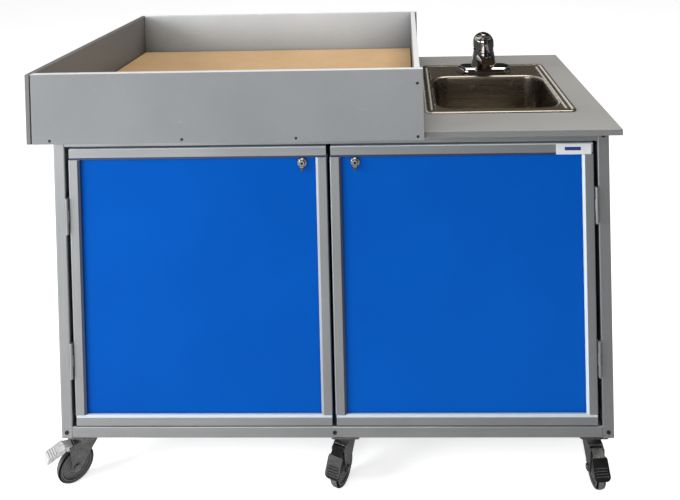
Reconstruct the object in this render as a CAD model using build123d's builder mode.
"""Portable handwash sink with a walled changing tray, on six casters.

Units are millimetres and +Z is up. The doors face -Y, and the sink is on the +X side.
Sizes below are laid out from the middle of the worktop; the finished parts are then moved together,
so that the origin of the files is on the floor under the middle of the whole unit.
"""
from build123d import *
from copy import copy
from math import cos, radians, sin
import os

os.makedirs("parts", exist_ok=True)

# ---- driving dimensions -------------------------------------------------
worktop_width = 1270.0
worktop_depth = 610.0
worktop_thickness = 12.7
worktop_top = 800.0

frame_width = 1232.0
frame_front = -270.0
frame_back = 280.0
caster_height = 105.0

bar = 25.4
bar_corner = 2.5
bar_bore = 2.6
slot_width = 6.4
slot_depth = 6.0
tongue = 5.0
panel = 6.0
joint_gap = 0.2

tray_wall = 12.7
tray_height = 152.4
tray_right_end = 212.0
tray_right_inset = 6.0
tray_board_top = 28.6
tray_board = 9.5
tray_board_gap = 3.5
tray_batten = 60.0

floor_thickness = 15.7

door_side_gap = 8.0
door_meeting_gap = 6.0
door_top_gap = 4.0
door_bottom_gap = 1.0
door_bar_end_step = 2.0
door_lip_width = 5.4
door_lip_drop = 2.0
door_panel_recess = 6.5

hinge_length = 80.0
hinge_leaf = 1.5
hinge_leaf_depth = 21.0
hinge_knuckle = 3.2
hinge_pin = 1.5
hinge_axis_proud = 3.0
running_gap = 0.05
lower_hinge_z = 282.0
upper_hinge_z = {"left": 608.0, "right": 622.0}

lock_x = 59.0
lock_z = 720.0

sink_x = 394.0
sink_width = 350.0
sink_depth = 394.0
sink_corner = 16.0
sink_sheet = 1.2
bowl_width = 290.0
bowl_front = -160.0
bowl_back = 92.0
bowl_corner = 42.0
bowl_depth = 127.0
bowl_draft = 5.0
bowl_floor_radius = 24.0
drain_radius = 25.0

faucet_y = 132.0
faucet_hole_spacing = 101.6

wheel_radius = 38.1
wheel_trail = 28.0
caster_inset_x = 43.5
caster_inset_y = 32.0
middle_caster_x = 23.0

# ---- derived places ------------------------------------------------------
worktop_bottom = worktop_top - worktop_thickness
frame_top = worktop_bottom
frame_bottom = caster_height
frame_height = frame_top - frame_bottom
post_x = frame_width / 2 - bar / 2
front_post_y = frame_front + bar / 2
back_post_y = frame_back - bar / 2
inner_x = frame_width / 2 - bar
inner_front = frame_front + bar
inner_back = frame_back - bar
inner_depth = inner_back - inner_front
inner_middle_y = (inner_back + inner_front) / 2
rail_low_z = frame_bottom + bar / 2
rail_high_z = frame_top - bar / 2
opening_bottom = frame_bottom + bar
opening_top = frame_top - bar
floor_top = frame_bottom + floor_thickness

half_worktop = worktop_width / 2
front_edge = -worktop_depth / 2
back_edge = worktop_depth / 2
tray_top = worktop_bottom + tray_height
tray_right_outer = tray_right_end - tray_right_inset
tray_right_inner = tray_right_outer - tray_wall

door_bottom = opening_bottom + door_bottom_gap
door_top = opening_top - door_top_gap
door_outer_x = inner_x - door_side_gap
door_inner_x = door_meeting_gap / 2
door_width = door_outer_x - door_inner_x
door_middle_y = frame_front + bar / 2
door_panel_front = frame_front + door_panel_recess
hinge_x = inner_x - door_side_gap / 2
hinge_y = frame_front - hinge_axis_proud

bowl_middle_y = (bowl_front + bowl_back) / 2
bowl_length = bowl_back - bowl_front
flange_top = worktop_top + sink_sheet
bowl_floor = flange_top - bowl_depth

SIDES = {"left": -1, "right": 1}


finished_parts = []


def save(part, name):
    """Label a finished piece and keep it for the final move."""
    part.label = name
    finished_parts.append(part)


def bar_section(slot_angles):
    """Square bar section: rounded corners, a screw bore, and panel slots on the given sides."""
    RectangleRounded(bar, bar, bar_corner)
    Circle(bar_bore, mode=Mode.SUBTRACT)
    for angle in slot_angles:
        with PolarLocations(bar / 2 - slot_depth / 2, 1, start_angle=angle):
            Rectangle(slot_depth + 0.01, slot_width, mode=Mode.SUBTRACT)


def box_between(low, high, mode=Mode.ADD):
    """Box from its lowest corner to its highest corner."""
    size = [high[i] - low[i] for i in range(3)]
    middle = [(high[i] + low[i]) / 2 for i in range(3)]
    with Locations(tuple(middle)):
        Box(*size, mode=mode)


def drill(planes, radius, depth):
    """Round holes into the part, each going back from its plane."""
    with Locations(*planes):
        Cylinder(radius, depth, align=(Align.CENTER, Align.CENTER, Align.MAX), mode=Mode.SUBTRACT)


# ---- fastener places -------------------------------------------------------
# Each place is a plane on the outer face, whose normal points out of the object.
frame_screw_radius = 4.5
frame_screw_shank = 2.5
frame_screw_length = 45.0
side_screw_length = 10.0
side_screw_heights = (140.0, 185.0)
tray_screw_radius = 3.4
tray_screw_shank = 1.6
tray_screw_length = 30.0
tray_screw_head = 1.4
tray_screw_z = 795.0
tray_screw_high = 909.0

FRONT = {"x_dir": (1, 0, 0), "z_dir": (0, -1, 0)}
BACK = {"x_dir": (-1, 0, 0), "z_dir": (0, 1, 0)}

frame_screw_planes = [
    Plane(origin=(x, frame_front, z), **FRONT) for x in (-post_x, post_x) for z in (rail_low_z, rail_high_z)
]
frame_screw_planes += [
    Plane(origin=(x, frame_back, z), **BACK) for x in (-post_x, post_x) for z in (rail_low_z, rail_high_z)
]
cross_screw_planes = [
    Plane(origin=(0, frame_front, rail_low_z), **FRONT),
    Plane(origin=(0, frame_back, rail_low_z), **BACK),
]
side_screw_planes = [
    Plane(origin=(side * frame_width / 2, y, z), x_dir=(0, 1, 0), z_dir=(side, 0, 0))
    for side in (-1, 1)
    for y in (front_post_y, back_post_y)
    for z in side_screw_heights
]
tray_corner_x = tray_right_outer - tray_wall / 2
tray_screw_x = (-596.0, -308.0, -62.0, tray_corner_x - 1)
tray_outer_front = front_edge - tray_wall
tray_outer_back = back_edge + tray_wall
edge_front_planes = [Plane(origin=(x, tray_outer_front, tray_screw_z), **FRONT) for x in tray_screw_x]
edge_back_planes = [Plane(origin=(x, tray_outer_back, tray_screw_z), **BACK) for x in tray_screw_x]
corner_front_plane = Plane(origin=(tray_corner_x, tray_outer_front, tray_screw_high), **FRONT)
corner_back_plane = Plane(origin=(tray_corner_x, tray_outer_back, tray_screw_high), **BACK)
tray_front_planes = edge_front_planes + [corner_front_plane]
tray_back_planes = edge_back_planes + [corner_back_plane]
tray_left_planes = [
    Plane(origin=(-half_worktop - tray_wall, y, tray_screw_z), x_dir=(0, -1, 0), z_dir=(-1, 0, 0))
    for y in (-200.0, 0.0, 200.0)
]

# ---- frame -----------------------------------------------------------------
with BuildPart() as corner_posts:
    for side in (-1, 1):
        with BuildSketch(Plane.XY.offset(frame_bottom)):
            with Locations((side * post_x, front_post_y)):
                bar_section([90])
        with BuildSketch(Plane.XY.offset(frame_bottom)):
            with Locations((side * post_x, back_post_y)):
                bar_section([270, 0 if side < 0 else 180])
    extrude(amount=frame_height)
    drill(frame_screw_planes, frame_screw_shank + running_gap, bar + 1)
    drill(side_screw_planes, frame_screw_shank + running_gap, side_screw_length)
save(corner_posts.part, "corner_posts")

with BuildPart() as frame_rails:
    long_rail = 2 * inner_x - 2 * joint_gap
    short_rail = inner_depth - 2 * joint_gap
    for y, z, slots in (
        (front_post_y, rail_high_z, []),
        (back_post_y, rail_high_z, [270]),
        (front_post_y, rail_low_z, [0]),
        (back_post_y, rail_low_z, [90, 180]),
    ):
        with BuildSketch(Plane(origin=(-long_rail / 2, y, z), x_dir=(0, 1, 0), z_dir=(1, 0, 0))):
            bar_section(slots)
        extrude(amount=long_rail)
    for x, z, slots in (
        (-post_x, rail_high_z, [270]),
        (post_x, rail_high_z, [270]),
        (-post_x, rail_low_z, [90, 180]),
        (post_x, rail_low_z, [90, 0]),
        (0, rail_low_z, [0, 180]),
    ):
        start = inner_front + joint_gap
        with BuildSketch(Plane(origin=(x, start, z), x_dir=(-1, 0, 0), z_dir=(0, 1, 0))):
            bar_section(slots)
        extrude(amount=short_rail)
    drill(cross_screw_planes, frame_screw_shank + running_gap, bar + 1)
save(frame_rails.part, "frame_rails")

with BuildPart() as side_panels:
    for side in (-1, 1):
        with Locations((side * post_x, inner_middle_y, (opening_top + opening_bottom) / 2)):
            Box(panel, inner_depth + 2 * tongue, opening_top - opening_bottom + 2 * tongue)
save(side_panels.part, "side_panels")

power_box_x = -200.0
power_box_z = 420.0
power_box_width = 130.0
power_box_depth = 62.0
power_box_height = 90.0
inlet_width = 50.0
inlet_height = 30.0
with BuildPart() as back_panel:
    with Locations((0, back_post_y, (opening_top + opening_bottom) / 2)):
        Box(2 * (inner_x + tongue), panel, opening_top - opening_bottom + 2 * tongue)
    with Locations((power_box_x, back_post_y, power_box_z)):
        Box(inlet_width + 1, 2 * panel, inlet_height + 1, mode=Mode.SUBTRACT)
save(back_panel.part, "back_panel")

with BuildPart() as floor_panels:
    for side in (-1, 1):
        clear_width = inner_x - bar / 2
        middle_x = side * (inner_x + bar / 2) / 2
        with Locations((middle_x, inner_middle_y, frame_bottom + floor_thickness - panel / 2)):
            Box(clear_width + 2 * tongue, inner_depth + 2 * tongue, panel)
        for y in (inner_front, inner_back):
            with Locations((side * inner_x, y, frame_bottom + floor_thickness - panel / 2)):
                Box(2 * tongue + 1, 2 * tongue + 1, 2 * panel, mode=Mode.SUBTRACT)
        rebate = floor_thickness - panel
        with Locations((middle_x, inner_middle_y, frame_bottom + rebate / 2)):
            Box(clear_width - 1, inner_depth - 1, rebate)
save(floor_panels.part, "floor_panels")

# ---- worktop and changing tray --------------------------------------------------
cutout_margin = 12.0
edge_round = 1.0
with BuildPart() as worktop:
    box_between((-half_worktop, front_edge, worktop_bottom), (half_worktop, back_edge, worktop_top))
    fillet(worktop.edges().filter_by(Axis.Z), edge_round)
    with BuildSketch(Plane.XY.offset(worktop_top)):
        with Locations((sink_x, 0)):
            RectangleRounded(sink_width - 2 * cutout_margin, sink_depth - 2 * cutout_margin, sink_corner)
    extrude(amount=-worktop_thickness, mode=Mode.SUBTRACT)
    edge_planes = edge_front_planes + edge_back_planes + tray_left_planes
    drill(edge_planes, tray_screw_shank + running_gap, tray_screw_length + tray_wall)
save(worktop.part, "worktop")

with BuildPart() as tray_front_panel:
    box_between(
        (-half_worktop, front_edge - tray_wall, worktop_bottom),
        (tray_right_end, front_edge, tray_top),
    )
    fillet(tray_front_panel.edges(), edge_round)
    drill(tray_front_planes, tray_screw_shank + running_gap, tray_wall + 1)
    drill(tray_front_planes, tray_screw_radius + running_gap, tray_screw_head)
save(tray_front_panel.part, "tray_front_panel")

with BuildPart() as tray_back_panel:
    box_between(
        (-half_worktop, back_edge, worktop_bottom),
        (tray_right_end, back_edge + tray_wall, tray_top),
    )
    fillet(tray_back_panel.edges(), edge_round)
    drill(tray_back_planes, tray_screw_shank + running_gap, tray_wall + 1)
    drill(tray_back_planes, tray_screw_radius + running_gap, tray_screw_head)
save(tray_back_panel.part, "tray_back_panel")

with BuildPart() as tray_left_panel:
    box_between(
        (-half_worktop - tray_wall, front_edge - tray_wall, worktop_bottom),
        (-half_worktop, back_edge + tray_wall, tray_top),
    )
    fillet(tray_left_panel.edges(), 2 * edge_round)
    drill(tray_left_planes, tray_screw_shank + running_gap, tray_wall + 1)
    drill(tray_left_planes, tray_screw_radius + running_gap, tray_screw_head)
save(tray_left_panel.part, "tray_left_panel")

with BuildPart() as tray_right_panel:
    box_between((tray_right_inner, front_edge, worktop_top), (tray_right_outer, back_edge, tray_top))
    fillet(tray_right_panel.edges().filter_by(Axis.Y), edge_round)
    corner_planes = [corner_front_plane, corner_back_plane]
    drill(corner_planes, tray_screw_shank + running_gap, tray_screw_length + tray_wall)
save(tray_right_panel.part, "tray_right_panel")

with BuildPart() as tray_floor_board:
    board_low = (-half_worktop + tray_board_gap, front_edge + tray_board_gap)
    board_high = (tray_right_inner - tray_board_gap, back_edge - tray_board_gap)
    board_under = worktop_top + tray_board_top - tray_board
    box_between(board_low + (board_under,), board_high + (worktop_top + tray_board_top,))
    for share in (0.0, 0.5, 1.0):
        x = board_low[0] + share * (board_high[0] - board_low[0] - tray_batten)
        box_between((x, board_low[1], worktop_top), (x + tray_batten, board_high[1], board_under))
save(tray_floor_board.part, "tray_floor_board")

# ---- screws --------------------------------------------------------------------------
head_proud = 1.0
socket_share = 0.55
socket_depth = 0.7
# Each row: places, head radius, shank radius, shank length, and how far the head's seat is sunk.
SCREWS = (
    (frame_screw_planes + cross_screw_planes, frame_screw_radius, frame_screw_shank, frame_screw_length, 0.0),
    (side_screw_planes, frame_screw_radius, frame_screw_shank, side_screw_length - 1, 0.0),
    (
        tray_front_planes + tray_back_planes + tray_left_planes,
        tray_screw_radius,
        tray_screw_shank,
        tray_screw_length,
        tray_screw_head,
    ),
)
with BuildPart() as fixing_screws:
    for planes, head, shank, length, sink_in in SCREWS:
        for plane in planes:
            with BuildSketch(plane.offset(-sink_in)):
                Circle(head)
                RegularPolygon(head * socket_share, 6, mode=Mode.SUBTRACT)
            extrude(amount=head_proud)
            with BuildSketch(plane.offset(-sink_in)):
                Circle(head)
            extrude(amount=head_proud - socket_depth)
            with BuildSketch(plane.offset(-sink_in)):
                Circle(shank)
            extrude(amount=-length)
save(fixing_screws.part, "fixing_screws")

# ---- sink ------------------------------------------------------------------------------
bead_height = 1.6
bead_width = 5.0
bead_inset = 13.0
bead_round = 0.96
shank_hole_radius = 12.0
shank_places = [(sink_x + side * faucet_hole_spacing / 2, faucet_y) for side in (-1, 1)]
with BuildPart() as bowl_hollow:
    with BuildSketch(Plane.XY.offset(flange_top)):
        with Locations((sink_x, bowl_middle_y)):
            RectangleRounded(bowl_width, bowl_length, bowl_corner)
    extrude(amount=-bowl_depth, taper=bowl_draft)
    fillet(bowl_hollow.faces().sort_by(Axis.Z)[0].edges(), bowl_floor_radius)

with BuildPart() as sink_basin:
    with BuildSketch(Plane.XY.offset(flange_top)):
        with Locations((sink_x, bowl_middle_y)):
            outer_width = bowl_width + 2 * sink_sheet
            RectangleRounded(outer_width, bowl_length + 2 * sink_sheet, bowl_corner + sink_sheet)
    extrude(amount=-bowl_depth - sink_sheet, taper=bowl_draft)
    fillet(sink_basin.faces().sort_by(Axis.Z)[0].edges(), bowl_floor_radius + sink_sheet)
    with BuildSketch(Plane.XY.offset(worktop_top)):
        with Locations((sink_x, 0)):
            RectangleRounded(sink_width, sink_depth, sink_corner)
    extrude(amount=sink_sheet)
    add(bowl_hollow.part, mode=Mode.SUBTRACT)
    for side in (-1, 1):
        with BuildSketch(Plane.XY.offset(flange_top)):
            with Locations((sink_x + side * (sink_width / 2 - bead_inset), 0)):
                SlotOverall(sink_depth - 3 * bead_inset, bead_width, rotation=90)
        extrude(amount=bead_height)
    fillet(sink_basin.faces().sort_by(Axis.Z)[-2:].edges(), bead_round)
    with BuildSketch(Plane.XY.offset(bowl_floor)):
        with Locations((sink_x, bowl_middle_y)):
            Circle(drain_radius + 0.2)
    extrude(amount=-2 * sink_sheet, mode=Mode.SUBTRACT)
    with BuildSketch(Plane.XY.offset(flange_top)):
        with Locations(*shank_places):
            Circle(shank_hole_radius)
    extrude(amount=-sink_sheet, mode=Mode.SUBTRACT)
save(sink_basin.part, "sink_basin")

drain_flange_radius = 38.0
drain_cup_depth = 18.0
drain_wall = 1.5
drain_cone = 12.0
drain_lip = 0.8
drain_lip_rise = 2.2
drain_neck_radius = drain_radius - drain_wall / 2
locknut_drop = 1.5
locknut_height = 8.0
strainer_drop = 8.0
strainer_sheet = 1.2
strainer_hole = 2.2
tailpiece_radius = 19.0
tailpiece_bottom = 570.0
locknut_radius = 33.0
with BuildPart() as sink_drain:
    cup_floor = bowl_floor - drain_cup_depth
    with BuildSketch(Plane.XZ.offset(-bowl_middle_y)):
        with BuildLine():
            Polyline(
                (sink_x + tailpiece_radius - drain_wall, tailpiece_bottom),
                (sink_x + tailpiece_radius, tailpiece_bottom),
                (sink_x + tailpiece_radius, cup_floor - drain_cone),
                (sink_x + drain_radius, cup_floor),
                (sink_x + drain_radius, bowl_floor),
                (sink_x + drain_flange_radius, bowl_floor),
                (sink_x + drain_flange_radius, bowl_floor + drain_lip),
                (sink_x + drain_radius + 1.0, bowl_floor + drain_lip_rise),
                (sink_x + drain_radius - drain_wall, bowl_floor),
                (sink_x + drain_radius - drain_wall, cup_floor),
                (sink_x + tailpiece_radius - drain_wall, cup_floor - drain_cone),
                close=True,
            )
        make_face()
    revolve(axis=Axis((sink_x, bowl_middle_y, 0), (0, 0, 1)))
    with BuildSketch(Plane.XY.offset(bowl_floor - sink_sheet - locknut_drop)):
        with Locations((sink_x, bowl_middle_y)):
            RegularPolygon(locknut_radius, 8)
            Circle(drain_neck_radius, mode=Mode.SUBTRACT)
    extrude(amount=-locknut_height)
    with BuildSketch(Plane.XY.offset(bowl_floor - strainer_drop)):
        with Locations((sink_x, bowl_middle_y)):
            Circle(drain_neck_radius)
            for ring_radius, count in ((7.0, 6), (15.0, 12)):
                with PolarLocations(ring_radius, count):
                    Circle(strainer_hole, mode=Mode.SUBTRACT)
    extrude(amount=-strainer_sheet)
save(sink_drain.part, "sink_drain")

# ---- faucet ------------------------------------------------------------------------------
faucet_base_length = 153.0
faucet_base_width = 60.0
faucet_base_height = 19.0
faucet_pivot_z = 884.0
faucet_ball = 24.0
faucet_dome = 29.0
column_crown = 28.0
column_top_z = 866.0
column_collar = 4.0
# Column sections from the base up: height over the flange, half width across, half width along.
COLUMN = (
    (1.0, 38.0, 29.0),
    (34.0, 33.0, 28.5),
    (column_top_z - column_collar - flange_top, column_crown, column_crown),
)
shank_radius = 10.0
shank_length = 45.0
shank_nut_radius = 17.0
spout_tip_y = 38.0
aerator_radius = 11.0
aerator_top_z = 852.0
aerator_length = 9.0
shank_nut_height = 9.0
corner_share = 0.42
# Spout sections from the column to the tip: y, z, width, height, and upward lean in degrees.
SPOUT = (
    (faucet_y - 5, 838.0, 50.0, 34.0, 20),
    (faucet_y - 50, 853.0, 44.0, 26.0, 10),
    (spout_tip_y - 6, 856.0, 36.0, 20.0, -6),
)
faucet_foot_z = flange_top
with BuildPart() as faucet_body:
    with BuildSketch(Plane.XY.offset(faucet_foot_z)):
        with Locations((sink_x, faucet_y)):
            SlotOverall(faucet_base_length, faucet_base_width)
    extrude(amount=faucet_base_height)
    fillet(faucet_body.faces().sort_by(Axis.Z)[-1].edges(), faucet_base_height * 0.75)
    for height, half_across, half_along in COLUMN:
        with BuildSketch(Plane.XY.offset(faucet_foot_z + height)):
            with Locations((sink_x, faucet_y)):
                Ellipse(half_across, half_along)
    loft()
    with BuildSketch(Plane.XY.offset(column_top_z)):
        with Locations((sink_x, faucet_y)):
            Circle(column_crown)
    extrude(amount=-column_collar)
    for y, z, width, height, tilt in SPOUT:
        lean = radians(tilt)
        with BuildSketch(Plane(origin=(sink_x, y, z), x_dir=(1, 0, 0), z_dir=(0, -cos(lean), sin(lean)))):
            RectangleRounded(width, height, height * corner_share)
    loft()
    with BuildSketch(Plane.XY.offset(aerator_top_z)):
        with Locations((sink_x, spout_tip_y + 6)):
            Circle(aerator_radius)
    extrude(amount=-aerator_length)
    with BuildSketch(Plane.XY.offset(faucet_foot_z)):
        with Locations(*shank_places):
            Circle(shank_radius)
    extrude(amount=-shank_length)
    with BuildSketch(Plane.XY.offset(worktop_top - 0.5)):
        with Locations(*shank_places):
            RegularPolygon(shank_nut_radius, 6)
    extrude(amount=-shank_nut_height)
save(faucet_body.part, "faucet_body")

with BuildPart() as faucet_stem:
    with Locations((sink_x, faucet_y, faucet_pivot_z)):
        Sphere(faucet_ball)
    split(bisect_by=Plane.XY.offset(column_top_z + 2 * running_gap), keep=Keep.TOP)
save(faucet_stem.part, "faucet_stem")

dome_skirt_middle = 9.0
dome_skirt_slant = 15.0
lever_reach = 74.0
# Lever sections from the dome to the tip: y, z, width and height.
LEVER = (
    (faucet_y - 12, faucet_pivot_z + 14, 42.0, 20.0),
    (faucet_y - 44, faucet_pivot_z + 22, 34.0, 11.0),
    (faucet_y - lever_reach, faucet_pivot_z + 32, 26.0, 6.0),
)
with BuildPart() as faucet_handle:
    with Locations((sink_x, faucet_y, faucet_pivot_z)):
        Sphere(faucet_dome)
    with BuildSketch(Plane.XY.offset(faucet_pivot_z)):
        with Locations((sink_x, faucet_y)):
            Circle(faucet_dome)
    extrude(amount=-2 * dome_skirt_middle)
    skirt_plane = Plane.XY.offset(faucet_pivot_z - dome_skirt_middle)
    skirt_plane.origin = (sink_x, faucet_y, faucet_pivot_z - dome_skirt_middle)
    split(bisect_by=skirt_plane.rotated((dome_skirt_slant, 0, 0)), keep=Keep.TOP)
    for y, z, width, height in LEVER:
        with BuildSketch(Plane(origin=(sink_x, y, z), x_dir=(1, 0, 0), z_dir=(0, -1, 0))):
            RectangleRounded(width, height, height * corner_share)
    loft()
    with Locations((sink_x, faucet_y, faucet_pivot_z)):
        Sphere(faucet_ball + 2 * running_gap, mode=Mode.SUBTRACT)
save(faucet_handle.part, "faucet_handle")

# ---- water tanks and hoses ---------------------------------------------------------------------
tank_width = 240.0
tank_length = 300.0
tank_height = 300.0
tank_round = 26.0
tank_wall = 3.0
neck_radius = 30.0
neck_height = 24.0
fresh_tank_x = 142.0
fresh_tank_y = -34.0
tank_handle_width = 24.0
# Outline of the carrying handle: distance behind the tank's middle, and height over its top.
TANK_HANDLE = ((50, -1), (62, 34), (118, 34), (128, -1), (114, -1), (108, 22), (70, 22), (64, -1))

for tank_name, x, y in (("fresh_tank", fresh_tank_x, fresh_tank_y), ("waste_tank", sink_x, bowl_middle_y)):
    tank_top = floor_top + tank_height
    tank_middle = (x, y, floor_top + tank_height / 2)
    with BuildPart() as hollow:
        with Locations(tank_middle):
            Box(tank_width - 2 * tank_wall, tank_length - 2 * tank_wall, tank_height - 2 * tank_wall)
        fillet(hollow.edges(), tank_round - tank_wall)
        with BuildSketch(Plane.XY.offset(tank_top - 2 * tank_wall)):
            with Locations((x, y)):
                Circle(neck_radius - tank_wall)
        extrude(amount=neck_height + 2 * tank_wall + 1)
    with BuildPart() as tank:
        with Locations(tank_middle):
            Box(tank_width, tank_length, tank_height)
        fillet(tank.edges(), tank_round)
        with BuildSketch(Plane.XY.offset(tank_top - 1)):
            with Locations((x, y)):
                Circle(neck_radius)
        extrude(amount=neck_height + 1)
        with BuildSketch(Plane(origin=(x - tank_handle_width / 2, 0, 0), x_dir=(0, 1, 0), z_dir=(1, 0, 0))):
            with BuildLine():
                Polyline(*((y + along, tank_top + up) for along, up in TANK_HANDLE), close=True)
            make_face()
        extrude(amount=tank_handle_width)
        add(hollow.part, mode=Mode.SUBTRACT)
    save(tank.part, tank_name)

cap_wall = 4.0
cap_height = 22.0
cap_grip_radius = 1.2
cap_grips = 24
cap_seat = 0.2
tube_radius = 5.0
neck_top = floor_top + tank_height + neck_height
with BuildPart() as fresh_tank_cap:
    with BuildSketch(Plane.XY.offset(neck_top + cap_wall + cap_seat)):
        with Locations((fresh_tank_x, fresh_tank_y)):
            Circle(neck_radius + cap_wall)
            with PolarLocations(neck_radius + cap_wall, cap_grips):
                Circle(cap_grip_radius, mode=Mode.SUBTRACT)
    extrude(amount=-cap_height)
    with BuildSketch(Plane.XY.offset(neck_top + cap_seat)):
        with Locations((fresh_tank_x, fresh_tank_y)):
            Circle(neck_radius + running_gap)
    extrude(amount=-cap_height, mode=Mode.SUBTRACT)
    with BuildSketch(Plane.XY.offset(neck_top + 2 * cap_wall)):
        with Locations((fresh_tank_x, fresh_tank_y)):
            Circle(tube_radius + 1)
    extrude(amount=-2 * cap_height, mode=Mode.SUBTRACT)
save(fresh_tank_cap.part, "fresh_tank_cap")

hose_radius = 22.0
hose_bottom = floor_top + tank_height - 40.0
hose_overlap = 30.0
hose_ribs = 10
hose_rib_pitch = 12.0
hose_rib_width = 5.0
hose_rib_proud = 1.6
with BuildPart() as waste_hose:
    with BuildSketch(Plane.XY.offset(hose_bottom)):
        with Locations((sink_x, bowl_middle_y)):
            Circle(hose_radius)
            Circle(tailpiece_radius + running_gap, mode=Mode.SUBTRACT)
    extrude(amount=tailpiece_bottom + hose_overlap - hose_bottom)
    for step in range(hose_ribs):
        with BuildSketch(Plane.XY.offset(neck_top + hose_rib_pitch * (step + 0.7))):
            with Locations((sink_x, bowl_middle_y)):
                Circle(hose_radius + hose_rib_proud)
                Circle(hose_radius - 1.0, mode=Mode.SUBTRACT)
        extrude(amount=hose_rib_width)
save(waste_hose.part, "waste_hose")

# ---- pump, heater and power ------------------------------------------------------------------------
pump_x = -110.0
pump_y = 150.0
pump_foot = 8.0
pump_motor_radius = 32.0
pump_motor_length = 105.0
pump_head_width = 66.0
pump_axis_z = floor_top + pump_foot + pump_motor_radius + 6.0
pump_port_z = pump_axis_z + 38.0
pump_port_spacing = 36.0
pump_port_radius = 8.0
pump_head_depth = 76.0
pump_head_height = 64.0
pump_base_x = pump_x - 20.0
pump_base_length = 140.0
pump_base_width = 90.0
pump_base_sheet = 6.0
pump_foot_radius = 9.0
with BuildPart() as water_pump:
    with BuildSketch(Plane(origin=(pump_x, pump_y, pump_axis_z), x_dir=(0, 1, 0), z_dir=(1, 0, 0))):
        Circle(pump_motor_radius)
    extrude(amount=-pump_motor_length)
    fillet(water_pump.faces().sort_by(Axis.X)[0].edges(), 8.0)
    with Locations((pump_x + pump_head_width / 2 - 1, pump_y, pump_axis_z)):
        head = Box(pump_head_width, pump_head_depth, pump_head_height)
    fillet(head.edges().filter_by(Axis.X), 10.0)
    with Locations((pump_base_x, pump_y, floor_top + pump_foot + pump_base_sheet / 2)):
        Box(pump_base_length, pump_base_width, pump_base_sheet)
    with Locations((pump_base_x, pump_y, floor_top + pump_foot + pump_base_sheet)):
        Box(60.0, 40.0, 2 * pump_base_sheet)
    with BuildSketch(Plane.XY.offset(floor_top)):
        with Locations((pump_base_x, pump_y)):
            with GridLocations(pump_base_length - 24.0, pump_base_width - 24.0, 2, 2):
                Circle(pump_foot_radius)
    extrude(amount=pump_foot + 1)
    with BuildSketch(Plane.XY.offset(pump_port_z)):
        with Locations((pump_x + pump_head_width / 2, pump_y)):
            with GridLocations(pump_port_spacing, 0, 2, 1):
                Circle(pump_port_radius)
    extrude(amount=-pump_port_radius)
save(water_pump.part, "water_pump")

heater_x = -420.0
heater_y = 70.0
heater_width = 270.0
heater_depth = 280.0
heater_height = 320.0
heater_foot = 12.0
heater_wall = 8.0
heater_top = floor_top + heater_foot + heater_height
heater_port_x = (heater_x - 70.0, heater_x + 70.0)
heater_left = heater_x - heater_width / 2
heater_right = heater_x + heater_width / 2
heater_front = heater_y - heater_depth / 2
heater_back = heater_y + heater_depth / 2
heater_round = 18.0
heater_leg_radius = 16.0
heater_leg_inset = 40.0
heater_port_radius = 10.0
heater_port_height = 18.0
knob_z = floor_top + 70.0
knob_shaft = 4.0
knob_radius = 20.0
knob_thickness = 14.0
knob_grips = 18
knob_grip_radius = 1.4
knob_shaft_length = 20.0
with BuildPart() as heater_shell:
    with Locations((heater_x, heater_y, floor_top + heater_foot + heater_height / 2)):
        casing = Box(heater_width, heater_depth, heater_height)
    fillet(casing.edges(), heater_round)
    with BuildSketch(Plane.XY.offset(floor_top)):
        with Locations((heater_x, heater_y)):
            with GridLocations(heater_width - 2 * heater_leg_inset, heater_depth - 2 * heater_leg_inset, 2, 2):
                Circle(heater_leg_radius)
    extrude(amount=heater_foot + 1)
    with BuildSketch(Plane.XY.offset(heater_top - 1)):
        with Locations(*((x, heater_y) for x in heater_port_x)):
            Circle(heater_port_radius)
    extrude(amount=heater_port_height + 1)
    box_between(
        (heater_left + heater_wall, heater_front + heater_wall, floor_top + heater_foot + heater_wall),
        (heater_right - heater_wall, heater_back - heater_wall, heater_top - heater_wall),
        mode=Mode.SUBTRACT,
    )
    drill([Plane(origin=(heater_x, heater_front, knob_z), **FRONT)], knob_shaft + running_gap, knob_shaft_length)
save(heater_shell.part, "heater_shell")

with BuildPart() as heater_knob:
    with BuildSketch(Plane(origin=(heater_x, heater_front - 1.0, knob_z), **FRONT)):
        Circle(knob_radius)
        with PolarLocations(knob_radius, knob_grips):
            Circle(knob_grip_radius, mode=Mode.SUBTRACT)
    extrude(amount=knob_thickness)
    with BuildSketch(Plane(origin=(heater_x, heater_front - knob_thickness, knob_z), **FRONT)):
        with Locations((0, knob_radius - 11.0)):
            Rectangle(4.0, 16.0)
    extrude(amount=3.0)
    with BuildSketch(Plane(origin=(heater_x, heater_front - 2.0, knob_z), **FRONT)):
        Circle(knob_shaft)
    extrude(amount=-knob_shaft_length)
save(heater_knob.part, "heater_knob")

rocker_width = 14.0
rocker_height = 24.0
rocker_x = power_box_x + 35.0
rocker_pin = 2.0
rocker_pin_depth = 7.0
rocker_boss = 5.0
blade_offset = 9.0
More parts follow.
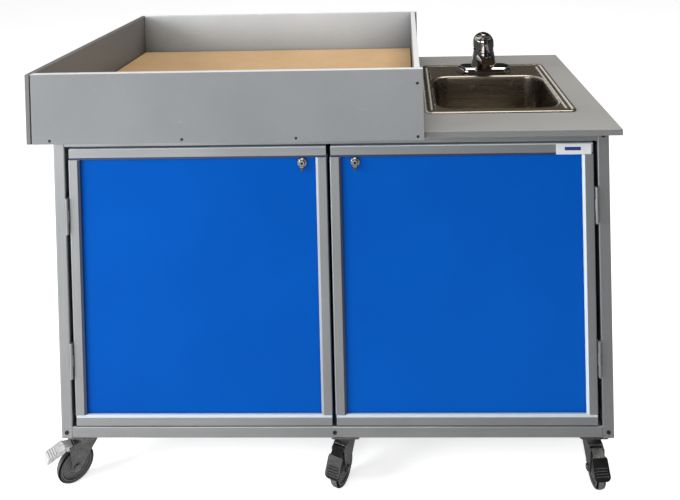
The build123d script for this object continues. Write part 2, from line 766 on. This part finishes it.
# Outline of the rocker seen from its end: distance behind the box's face, and height from its middle.
ROCKER = ((7.0, -6.0), (7.0, 6.0), (2.0, 10.0), (-2.0, 10.5), (-1.0, 0.0), (-2.0, -10.5), (2.0, -10.0))
power_box_back = back_post_y - panel / 2 - 0.2
power_box_front = power_box_back - power_box_depth
with BuildPart() as power_box:
    with Locations((power_box_x, (power_box_back + power_box_front) / 2, power_box_z)):
        shell = Box(power_box_width, power_box_depth, power_box_height)
    fillet(shell.edges(), 6.0)
    with Locations((power_box_x, power_box_back + 6.0, power_box_z)):
        Box(inlet_width, 14.0, inlet_height)
    with Locations((power_box_x, power_box_back + 10.0, power_box_z)):
        Box(32.0, 18.0, 20.0, mode=Mode.SUBTRACT)
    with Locations((power_box_x, power_box_back, power_box_z)):
        with GridLocations(2 * blade_offset, 0, 2, 1):
            Box(2.0, 16.0, 8.0)
    with Locations((rocker_x, power_box_front, power_box_z)):
        Box(rocker_width + 1, 24.0, rocker_height + 1, mode=Mode.SUBTRACT)
    pin_origin = (rocker_x - rocker_width, power_box_front + rocker_pin_depth, power_box_z)
    with BuildSketch(Plane(origin=pin_origin, x_dir=(0, 1, 0), z_dir=(1, 0, 0))):
        Circle(rocker_pin)
    extrude(amount=2 * rocker_width)
save(power_box.part, "power_box")

with BuildPart() as rocker_switch:
    rocker_origin = (rocker_x - rocker_width / 2, power_box_front, power_box_z)
    with BuildSketch(Plane(origin=rocker_origin, x_dir=(0, 1, 0), z_dir=(1, 0, 0))):
        with BuildLine():
            Polyline(*ROCKER, close=True)
        make_face()
        with Locations((rocker_pin_depth, 0)):
            Circle(rocker_boss)
            Circle(rocker_pin + running_gap, mode=Mode.SUBTRACT)
    extrude(amount=rocker_width)
save(rocker_switch.part, "rocker_switch")

# Each water line is a path of corner points, rounded at its corners and swept with a round tube.
line_bend = 10.0
line_end_gap = 0.2
pump_in_x = pump_x + pump_head_width / 2 + pump_port_spacing / 2
pump_out_x = pump_in_x - pump_port_spacing
cold_shank_x = sink_x + faucet_hole_spacing / 2
hot_shank_x = sink_x - faucet_hole_spacing / 2
shank_bottom = faucet_foot_z - shank_length
line_high_z = 640.0
line_low_z = line_high_z - 60.0
line_back_y = 205.0
line_riser_y = faucet_y + 25.0
tank_line_z = neck_top + 60.0
tee_z = 530.0
heater_port_top = heater_top + heater_port_height
water_paths = (
    (
        (fresh_tank_x, fresh_tank_y, floor_top + 20.0),
        (fresh_tank_x, fresh_tank_y, tank_line_z),
        (pump_in_x, fresh_tank_y, tank_line_z),
        (pump_in_x, pump_y, tank_line_z),
        (pump_in_x, pump_y, pump_port_z + line_end_gap),
    ),
    (
        (pump_out_x, pump_y, pump_port_z + line_end_gap),
        (pump_out_x, pump_y, line_low_z),
        (pump_out_x, line_back_y, line_low_z),
        (cold_shank_x, line_back_y, line_low_z),
        (cold_shank_x, line_riser_y, line_low_z),
        (cold_shank_x, line_riser_y, line_high_z + 40.0),
        (cold_shank_x, faucet_y, line_high_z + 60.0),
        (cold_shank_x, faucet_y, shank_bottom - line_end_gap),
    ),
    (
        (heater_port_x[1], heater_y, heater_port_top + line_end_gap),
        (heater_port_x[1], heater_y, line_high_z),
        (heater_port_x[1], line_back_y, line_high_z),
        (hot_shank_x, line_back_y, line_high_z),
        (hot_shank_x, line_riser_y, line_high_z),
        (hot_shank_x, line_riser_y, line_high_z + 60.0),
        (hot_shank_x, faucet_y, line_high_z + 80.0),
        (hot_shank_x, faucet_y, shank_bottom - line_end_gap),
    ),
    (
        (pump_out_x, pump_y, tee_z),
        (heater_port_x[0], pump_y, tee_z),
        (heater_port_x[0], heater_y, tee_z),
        (heater_port_x[0], heater_y, heater_port_top + line_end_gap),
    ),
)
with BuildPart() as water_lines:
    for points in water_paths:
        with BuildLine() as path:
            FilletPolyline(*points, radius=line_bend)
        start_plane = Plane(origin=points[0], z_dir=Vector(points[1]) - Vector(points[0]))
        with BuildSketch(start_plane):
            Circle(tube_radius)
        sweep(path=path.wires()[0])
save(water_lines.part, "water_lines")

# ---- doors -----------------------------------------------------------------------------------------

def door_bar_section():
    """Door bar section: local x points at the panel, local y points into the cabinet."""
    RectangleRounded(bar, bar, bar_corner)
    Circle(bar_bore, mode=Mode.SUBTRACT)
    half = bar / 2
    lip_start = (half - door_lip_width, -half - 0.01)
    lip_end = (half + 0.01, door_lip_drop - half)
    Polygon(lip_start, (half + 0.01, -half - 0.01), lip_end, align=None, mode=Mode.SUBTRACT)
    slot_middle = door_panel_recess + panel / 2 - half
    with Locations((half - slot_depth / 2, slot_middle)):
        Rectangle(slot_depth + 0.01, slot_width, mode=Mode.SUBTRACT)


# Each lock has a barrel through the door panel, and a turn with a tail outside and a cam bar inside.
lock_flange_radius = 11.0
lock_barrel_radius = 9.0
lock_bore = 5.0
lock_proud = 2.5
lock_back_y = inner_front - 0.4
lock_nut_radius = 14.0
lock_nut_height = 5.0
turn_disc_radius = 8.5
turn_disc_height = 2.0
turn_grip_radius = 6.5
turn_grip_height = 3.5
turn_tail = 18.0
turn_tip_radius = 2.5
turn_front_y = door_panel_front - lock_proud - 3 * running_gap
cam_length = 50.0
cam_width = 12.0
cam_thickness = 2.2
cam_front_y = inner_front + 1.0

stile_start = door_bottom + bar + joint_gap
stile_length = door_top - bar - joint_gap - stile_start
rail_length = door_width - 2 * door_bar_end_step

for side_name, side in SIDES.items():
    low_x = min(side * door_outer_x, side * door_inner_x)
    high_x = low_x + door_width
    with BuildPart() as door_frame:
        left_start = (low_x + bar / 2, door_middle_y, stile_start)
        right_start = (high_x - bar / 2, door_middle_y, stile_start + stile_length)
        bottom_start = (high_x - door_bar_end_step, door_middle_y, door_bottom + bar / 2)
        top_start = (low_x + door_bar_end_step, door_middle_y, door_top - bar / 2)
        for start, inward, along, length in (
            (left_start, (1, 0, 0), (0, 0, 1), stile_length),
            (right_start, (-1, 0, 0), (0, 0, -1), stile_length),
            (bottom_start, (0, 0, 1), (-1, 0, 0), rail_length),
            (top_start, (0, 0, -1), (1, 0, 0), rail_length),
        ):
            with BuildSketch(Plane(origin=start, x_dir=inward, z_dir=along)):
                door_bar_section()
            extrude(amount=length)
    save(door_frame.part, f"{side_name}_door_frame")

    lock_plane = Plane(origin=(side * lock_x, door_panel_front, lock_z), **FRONT)
    with BuildPart() as door_panel:
        box_between(
            (low_x + bar - tongue, door_panel_front, door_bottom + bar - tongue),
            (high_x - bar + tongue, door_panel_front + panel, door_top - bar + tongue),
        )
        drill([lock_plane], lock_barrel_radius + running_gap, panel)
    save(door_panel.part, f"{side_name}_door_panel")

    with BuildPart() as lock_barrel:
        with BuildSketch(lock_plane.offset(running_gap)):
            Circle(lock_flange_radius)
        extrude(amount=lock_proud)
        fillet(lock_barrel.faces().sort_by(Axis.Y)[0].edges(), 1.0)
        with BuildSketch(lock_plane.offset(running_gap)):
            Circle(lock_barrel_radius)
        extrude(amount=door_panel_front - lock_back_y)
        with BuildSketch(lock_plane.offset(-panel - 0.5)):
            RegularPolygon(lock_nut_radius, 6)
        extrude(amount=-lock_nut_height)
        drill([lock_plane.offset(lock_proud + 1)], lock_bore + running_gap, 2 * bar)
    save(lock_barrel.part, f"{side_name}_lock_barrel")

    with BuildPart() as lock_turn:
        turn_plane = Plane(origin=(side * lock_x, turn_front_y, lock_z), **FRONT)
        with BuildSketch(turn_plane):
            Circle(turn_disc_radius)
        extrude(amount=turn_disc_height)
        with BuildSketch(turn_plane.offset(turn_disc_height - 0.5)):
            Circle(turn_grip_radius)
            with Locations((0, turn_tip_radius - turn_tail)):
                Circle(turn_tip_radius)
            make_hull()
        extrude(amount=turn_grip_height)
        fillet(lock_turn.faces().sort_by(Axis.Y)[0].edges(), 1.0)
        with BuildSketch(turn_plane):
            Circle(lock_bore)
        extrude(amount=turn_front_y - cam_front_y - 1.0)
        with BuildSketch(Plane(origin=(side * lock_x, cam_front_y, lock_z), **BACK)):
            with Locations((-side * (cam_length / 2 - cam_width / 2), 0)):
                SlotOverall(cam_length, cam_width)
        extrude(amount=cam_thickness)
    save(lock_turn.part, f"{side_name}_lock_turn")

    with BuildPart() as door_leaves:
        for middle_z in (lower_hinge_z, upper_hinge_z[side_name]):
            leaf_x = side * (door_outer_x + hinge_leaf / 2)
            knuckle_length = hinge_length / 3
            with Locations((leaf_x, hinge_y + 4.0 + hinge_leaf_depth / 2, middle_z)):
                Box(hinge_leaf, hinge_leaf_depth, hinge_length)
            with Locations((leaf_x, hinge_y + 2.5, middle_z)):
                Box(hinge_leaf, 5.0, knuckle_length - 2 * joint_gap)
            with BuildSketch(Plane.XY.offset(middle_z - knuckle_length / 2 + joint_gap)):
                with Locations((side * hinge_x, hinge_y)):
                    Circle(hinge_knuckle)
            extrude(amount=knuckle_length - 2 * joint_gap)
            with BuildSketch(Plane.XY.offset(middle_z - knuckle_length)):
                with Locations((side * hinge_x, hinge_y)):
                    Circle(hinge_pin + running_gap)
            extrude(amount=2 * knuckle_length, mode=Mode.SUBTRACT)
    save(door_leaves.part, f"{side_name}_hinge_leaves")

with BuildPart() as frame_hinge_leaves:
    for side_name, side in SIDES.items():
        for middle_z in (lower_hinge_z, upper_hinge_z[side_name]):
            leaf_x = side * (inner_x - hinge_leaf / 2)
            knuckle_length = hinge_length / 3
            with Locations((leaf_x, hinge_y + 4.0 + hinge_leaf_depth / 2, middle_z)):
                Box(hinge_leaf, hinge_leaf_depth, hinge_length)
            for end in (-1, 1):
                with Locations((leaf_x, hinge_y + 2.5, middle_z + end * knuckle_length)):
                    Box(hinge_leaf, 5.0, knuckle_length)
                with BuildSketch(Plane.XY.offset(middle_z + end * knuckle_length - knuckle_length / 2)):
                    with Locations((side * hinge_x, hinge_y)):
                        Circle(hinge_knuckle)
                extrude(amount=knuckle_length)
            with BuildSketch(Plane.XY.offset(middle_z - hinge_length / 2)):
                with Locations((side * hinge_x, hinge_y)):
                    Circle(hinge_pin)
            extrude(amount=hinge_length)
save(frame_hinge_leaves.part, "frame_hinge_leaves")

# ---- casters ---------------------------------------------------------------------------------------------
brake_travel = 42.0
# Name, place of the swivel axis, heading of the wheel from -Y towards -X in degrees, and how far the brake pedal is
# pressed down, or None where there is no brake.
corner_caster_x = frame_width / 2 - caster_inset_x
front_caster_y = frame_front + caster_inset_y
back_caster_y = frame_back - caster_inset_y
CASTERS = (
    ("front_left", -corner_caster_x, front_caster_y, 47.0, 0.0),
    ("front_middle", middle_caster_x, front_caster_y, 22.0, brake_travel),
    ("front_right", corner_caster_x, front_caster_y, -4.0, brake_travel),
    ("rear_left", -corner_caster_x, back_caster_y, 160.0, None),
    ("rear_middle", middle_caster_x, back_caster_y, 188.0, None),
    ("rear_right", corner_caster_x, back_caster_y, 205.0, None),
)
plate_size = 64.0
plate_thickness = 3.0
plate_corner = 6.0
bolt_spacing = 46.0
bolt_radius = 3.5
bolt_head_radius = 5.0
bolt_head_height = 2.0
race_radius = 23.0
race_bottom = 96.0
kingpin_radius = 6.0
kingpin_bottom = 84.0
kingpin_head_radius = 9.0
kingpin_head_height = 2.5
crown_radius = 24.0
crown_bottom = 88.0
crown_sheet = 2.5
crown_back = -18.0
crown_front = 33.0
leg_inner = 13.5
leg_thickness = 2.5
leg_outer = leg_inner + leg_thickness
axle_overhang = 5.0
axle_nut_radius = 7.0
axle_nut_height = 4.0
axle_radius = 4.0
hub_half_width = 12.0
tyre_half_width = 10.0
tyre_inner_radius = 33.0
tyre_shoulder = 3.5
tyre_crown_drop = 0.6
hub_dish_depth = 3.0
hub_dish_outer = 29.0
hub_dish_inner = 12.0
hub_boss_radius = 10.0
pedal_pivot_x = 36.0
pedal_pivot_z = 84.0
pedal_pin = 2.5
pedal_half_width = 12.8
pad_half_width = 17.0
pad_start = 12.5
pedal_ribs = 4
pedal_rib_radius = 1.4
pedal_rib_pitch = 4.5
pedal_rib_start = 33.5
# Fork leg outline in its side plane: distance ahead of the swivel axis, and height.
LEG = (
    (-16.0, crown_bottom + crown_sheet),
    (22.0, crown_bottom + crown_sheet),
    (pedal_pivot_x + 6.0, pedal_pivot_z + 3.0),
    (pedal_pivot_x + 6.0, pedal_pivot_z - 6.0),
    (wheel_trail + 8.0, wheel_radius - 4.0),
    (wheel_trail + 4.0, wheel_radius - 9.0),
    (wheel_trail - 4.0, wheel_radius - 9.0),
    (wheel_trail - 9.0, wheel_radius - 2.0),
    (-16.0, crown_bottom - 10.0),
)
# Pedal outline in the same plane, from its pivot: distance ahead, and height.
PEDAL = ((-3, -4), (6, -4), (16, 2), (48, -4), (52, -7), (54, -4), (50, 3), (16, 10), (-1, 4))
pedal_length = 54.0
pedal_corner = 8.0

with BuildPart() as caster_plates:
    for name, x, y, heading, pressed in CASTERS:
        with BuildSketch(Plane.XY.offset(frame_bottom)):
            with Locations((x, y)):
                RectangleRounded(plate_size, plate_size, plate_corner)
        extrude(amount=-plate_thickness)
        with BuildSketch(Plane.XY.offset(frame_bottom - plate_thickness)):
            with Locations((x, y)):
                Circle(race_radius)
        extrude(amount=race_bottom - frame_bottom + plate_thickness)
        with BuildSketch(Plane.XY.offset(race_bottom)):
            with Locations((x, y)):
                Circle(kingpin_radius)
        extrude(amount=kingpin_bottom - race_bottom)
        with BuildSketch(Plane.XY.offset(kingpin_bottom)):
            with Locations((x, y)):
                Circle(kingpin_head_radius)
        extrude(amount=-kingpin_head_height)
        with BuildSketch(Plane.XY.offset(frame_bottom - plate_thickness)):
            with Locations((x, y)):
                with GridLocations(bolt_spacing, bolt_spacing, 2, 2):
                    Circle(bolt_head_radius)
                    RegularPolygon(bolt_radius, 6, mode=Mode.SUBTRACT)
        extrude(amount=-bolt_head_height)
save(caster_plates.part, "caster_plates")

for name, x, y, heading, pressed in CASTERS:
    turn = radians(heading)
    ahead = Vector(-sin(turn), -cos(turn), 0)
    across = Vector(-cos(turn), sin(turn), 0)
    foot = Vector(x, y, 0)
    ground = Plane(origin=foot, x_dir=ahead, z_dir=(0, 0, 1))
    side_plane = Plane(origin=foot, x_dir=ahead, z_dir=across)

    with BuildPart() as fork:
        with BuildSketch(ground.offset(crown_bottom)):
            Circle(crown_radius)
            with Locations(((crown_back + crown_front) / 2, 0)):
                Rectangle(crown_front - crown_back, 2 * leg_outer)
        extrude(amount=crown_sheet)
        with BuildSketch(ground.offset(crown_bottom)):
            Circle(crown_radius)
        extrude(amount=race_bottom - crown_bottom - 2 * running_gap)
        for direction in (-1, 1):
            with BuildSketch(side_plane.offset(direction * leg_inner)):
                with BuildLine():
                    Polyline(*LEG, close=True)
                make_face()
                with Locations((wheel_trail, wheel_radius)):
                    Circle(axle_radius + running_gap, mode=Mode.SUBTRACT)
            extrude(amount=direction * leg_thickness)
        drill([ground.offset(race_bottom)], kingpin_radius + running_gap, race_bottom - crown_bottom + 1)
        if pressed is not None:
            with BuildSketch(side_plane.offset(-leg_outer)):
                with Locations((pedal_pivot_x, pedal_pivot_z)):
                    Circle(pedal_pin)
            extrude(amount=2 * leg_outer)
        with BuildSketch(side_plane.offset(-leg_outer - axle_overhang)):
            with Locations((wheel_trail, wheel_radius)):
                Circle(axle_radius)
        extrude(amount=2 * (leg_outer + axle_overhang))
        for direction in (-1, 1):
            with BuildSketch(side_plane.offset(direction * (leg_outer + running_gap))):
                with Locations((wheel_trail, wheel_radius)):
                    RegularPolygon(axle_nut_radius, 6)
            extrude(amount=direction * axle_nut_height)
    save(fork.part, f"{name}_fork")

    hub_plane = Plane(origin=foot + ahead * wheel_trail + Vector(0, 0, wheel_radius), x_dir=ahead, z_dir=across)
    with BuildPart() as wheel_hub:
        rim_half_width = tyre_half_width - 1
        dish_bottom = rim_half_width - hub_dish_depth
        with BuildSketch(hub_plane.offset(-rim_half_width)):
            Circle(tyre_inner_radius)
        extrude(amount=2 * rim_half_width)
        for direction in (-1, 1):
            with BuildSketch(hub_plane.offset(direction * rim_half_width)):
                Circle(hub_dish_outer)
                Circle(hub_dish_inner, mode=Mode.SUBTRACT)
            extrude(amount=-direction * hub_dish_depth, mode=Mode.SUBTRACT)
            with BuildSketch(hub_plane.offset(direction * dish_bottom)):
                Circle(hub_boss_radius)
            extrude(amount=direction * (hub_half_width - dish_bottom))
        drill([hub_plane.offset(hub_half_width + 1)], axle_radius + running_gap, 2 * hub_half_width + 2)
    save(wheel_hub.part, f"{name}_wheel_hub")

    with BuildPart() as tyre:
        with BuildSketch(Plane(origin=hub_plane.origin, x_dir=ahead, z_dir=(0, 0, 1))):
            with BuildLine():
                crown_half = tyre_half_width - 4.0
                shoulder = wheel_radius - tyre_shoulder
                Polyline(
                    (shoulder, tyre_half_width),
                    (tyre_inner_radius, tyre_half_width),
                    (tyre_inner_radius, -tyre_half_width),
                    (shoulder, -tyre_half_width),
                )
                Spline(
                    (shoulder, -tyre_half_width),
                    (wheel_radius - tyre_crown_drop, -crown_half),
                    (wheel_radius, 0),
                    (wheel_radius - tyre_crown_drop, crown_half),
                    (shoulder, tyre_half_width),
                )
            make_face()
        revolve(axis=Axis(hub_plane.origin, across))
    save(tyre.part, f"{name}_tyre")

    if pressed is not None:
        with BuildPart() as pedal:
            with BuildSketch(side_plane):
                with BuildLine():
                    Polyline(*((pedal_pivot_x + along, pedal_pivot_z + up) for along, up in PEDAL), close=True)
                make_face()
                with Locations((pedal_pivot_x, pedal_pivot_z)):
                    Circle(pedal_pin + running_gap, mode=Mode.SUBTRACT)
            extrude(amount=pad_half_width, both=True)
            with BuildSketch(ground.offset(kingpin_bottom - 2 * wheel_trail)):
                with Locations((pedal_pivot_x, 0)):
                    Rectangle(pedal_length, 2 * pedal_half_width)
                with Locations((pedal_pivot_x + (pad_start + pedal_length) / 2, 0)):
                    RectangleRounded(pedal_length - pad_start, 2 * pad_half_width, pedal_corner)
            extrude(amount=4 * wheel_trail, mode=Mode.INTERSECT)
            for step in range(pedal_ribs):
                rib_x = pedal_rib_start + pedal_rib_pitch * step
                rib_z = 9.6 - (rib_x - 16.0) * 7.0 / 34.0
                with BuildSketch(side_plane):
                    with Locations((pedal_pivot_x + rib_x, pedal_pivot_z + rib_z)):
                        Circle(pedal_rib_radius)
                extrude(amount=pad_half_width - 4.0, both=True)
        pedal_axis = Axis(foot + ahead * pedal_pivot_x + Vector(0, 0, pedal_pivot_z), across)
        save(pedal.part.rotate(pedal_axis, -pressed), f"{name}_pedal")

# ---- files -------------------------------------------------------------------------------------------------
outline = Compound(children=[copy(part) for part in finished_parts]).bounding_box()
to_origin = Location((-outline.center().X, -outline.center().Y, 0))
for part in finished_parts:
    moved = part.moved(to_origin)
    moved.label = part.label
    export_step(moved, f"parts/{part.label}.step")
